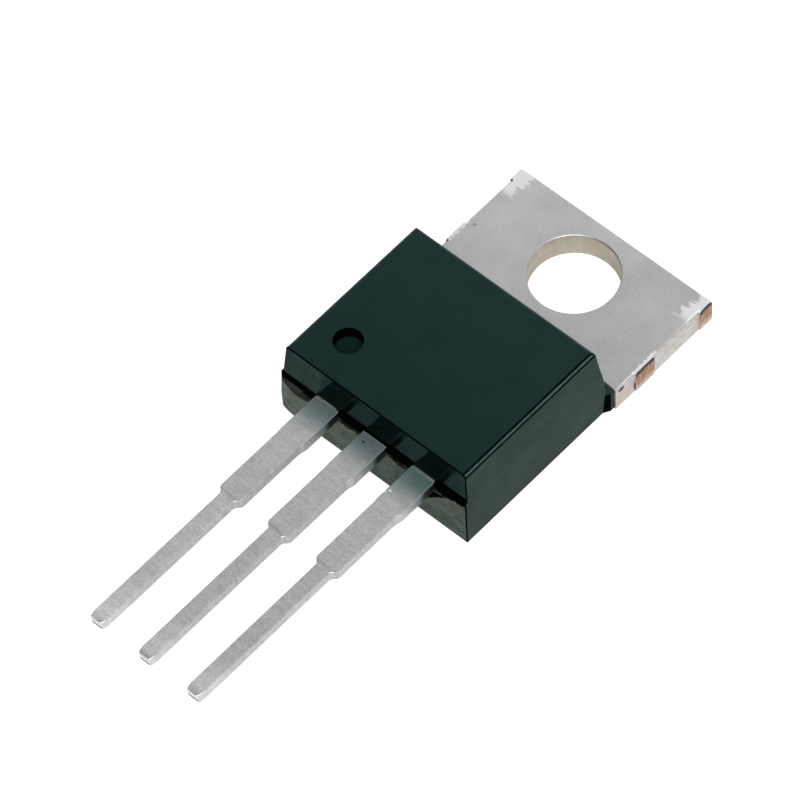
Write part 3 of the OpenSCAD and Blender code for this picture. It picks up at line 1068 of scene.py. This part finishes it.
def onLedge(c, n):
    return c.y < bodySizes["frontZone"] and abs(c.z - bodySizes["parting"]) < 0.05 and n.z > 0.3


def onRightCorner(c, n):
    return c.x > 4 and n.x * -n.y > 0.15


def onCorner(c, n):
    return onLedge(c, n) or onCrispLine(c, n) or onRightCorner(c, n)


leadTin = tinLead()
leadEnds = [(burnishedEnd(), onSmear), (tornEnd(), onTorn)]
dress(baseLead, leadTin, leadEnds)
dress(emitterLead, leadTin, leadEnds)
dress(headerStrip, tinTab(), [
    (leadTin, onBareLead),
    (tinSide(), onTabSide),
    (holeWall(), onHoleWall),
    (shearedCopper(), onStubEnd),
    *leadEnds,
])
dress(mouldedBody, resinSide(), [
    (resinTop(), onTop),
    (resinLower(), onLowerFront),
    (resinFront(), onUpperFront),
    (resinFlash(), onFlash),
    (resinBreak(), onBreak),
    (resinChamfer(), onChamfer),
    (resinCorner(), onCorner),
    (resinDimple(), inDimple),
])
aluminium = innerMetal("bond wire aluminium", (0.70, 0.71, 0.72), (0.85, 0.86, 0.86), 0.25)
innerFinishes = {
    "silicon_die": innerMetal("silicon", (0.08, 0.085, 0.10), (0.13, 0.135, 0.15), 0.12),
    "die_solder": innerMetal("soft solder", (0.42, 0.42, 0.43), (0.60, 0.60, 0.60), 0.4),
    "base_wire": aluminium,
    "emitter_wire_1": aluminium,
    "emitter_wire_2": aluminium,
}
for name, material in innerFinishes.items():
    dress(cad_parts[name], material)
print("finishes given")


def makeStage():
    clearPicks()
    bpy.ops.mesh.primitive_plane_add(size=3, location=(0, 0, -0.00001))
    floor = bpy.context.object
    floor.name = "floor"
    material = bpy.data.materials.new("white table")
    material.use_nodes = True
    tree = material.node_tree
    tree.nodes.clear()
    start = Wire(tree)
    direct, through, glossy = (start.node("LightPath", out="Is %s Ray" % kind)
                               for kind in ("Camera", "Transmission", "Glossy"))
    seen = direct.most(through)
    matt = start.node("BsdfDiffuse", sockets={"Color": (0.8, 0.8, 0.8, 1)})
    glow = start.node("Emission", sockets={"Color": (1, 1, 1, 1), "Strength": seen * 0.8 + glossy * 0.2})
    both = start.node("AddShader", sockets={0: matt, 1: glow})
    out = tree.nodes.new("ShaderNodeOutputMaterial")
    tree.links.new(both.socket, out.inputs["Surface"])
    floor.data.materials.append(material)


def makeWorld():
    world = bpy.data.worlds.new("studio")
    world.use_nodes = True
    bpy.context.scene.world = world
    tree = world.node_tree
    tree.nodes.clear()
    start = Wire(tree)
    way = start.node("TexCoord", out="Generated")
    behind = way.part("Y").rise(-0.1, 0.3) * 0.66
    low = way.part("Z").rise(0.3, 0.05) * 0.7
    # One dark patch of sky overhead in front keeps the polished resin black.
    patch = (-0.36, -0.35, 0.865)
    toward = way.node("VectorMath", {"operation": "DOT_PRODUCT"}, {0: way, 1: patch}, "Value")
    level = behind.most(low).most(toward.rise(0.94, 0.84) * 0.25) + 0.008
    seen = start.node("LightPath", out="Is Camera Ray")
    shade = seen.blend(level.node("CombineColor", sockets={0: level, 1: level, 2: level}), (1, 1, 1))
    back = start.node("Background", sockets={"Color": shade, "Strength": 1.0})
    out = tree.nodes.new("ShaderNodeOutputWorld")
    tree.links.new(back.socket, out.inputs["Surface"])


def addSoftbox(name, toward, distance, size, watts):
    light = bpy.data.lights.new(name, "AREA")
    light.shape, light.size, light.energy = "SQUARE", size, watts
    lamp = bpy.data.objects.new(name, light)
    bpy.context.scene.collection.objects.link(lamp)
    aim = Vector((0, -0.011, 0.002))
    way = Vector(toward).normalized()
    lamp.location = aim + way * distance
    lamp.rotation_euler = way.to_track_quat("Z", "Y").to_euler()


viewSizes = {
    "place": (116.858, -127.016, 246.753),       # millimetres
    "turn": (2.412355, 0.910221, -0.327205),     # axis of the turn, as long as its angle
    "focal": 337.5,
    "sensor": 36,
}


def makeCamera():
    axis = Vector(viewSizes["turn"])
    turn = Matrix.Rotation(axis.length, 3, axis.normalized())
    data = bpy.data.cameras.new("camera")
    data.lens, data.sensor_width = viewSizes["focal"], viewSizes["sensor"]
    data.clip_start, data.clip_end = 0.01, 10
    camera = bpy.data.objects.new("camera", data)
    bpy.context.scene.collection.objects.link(camera)
    axes = Matrix((turn[0], -turn[1], -turn[2])).transposed()
    camera.matrix_world = Matrix.Translation([v * mm for v in viewSizes["place"]]) @ axes.to_4x4()
    bpy.context.scene.camera = camera


makeStage()
makeWorld()
addSoftbox("key softbox", (0.5, -0.45, 0.74), 0.7, 0.8, 4.2)
makeCamera()
bpy.context.scene.view_settings.view_transform = "Standard"
print("stage set")
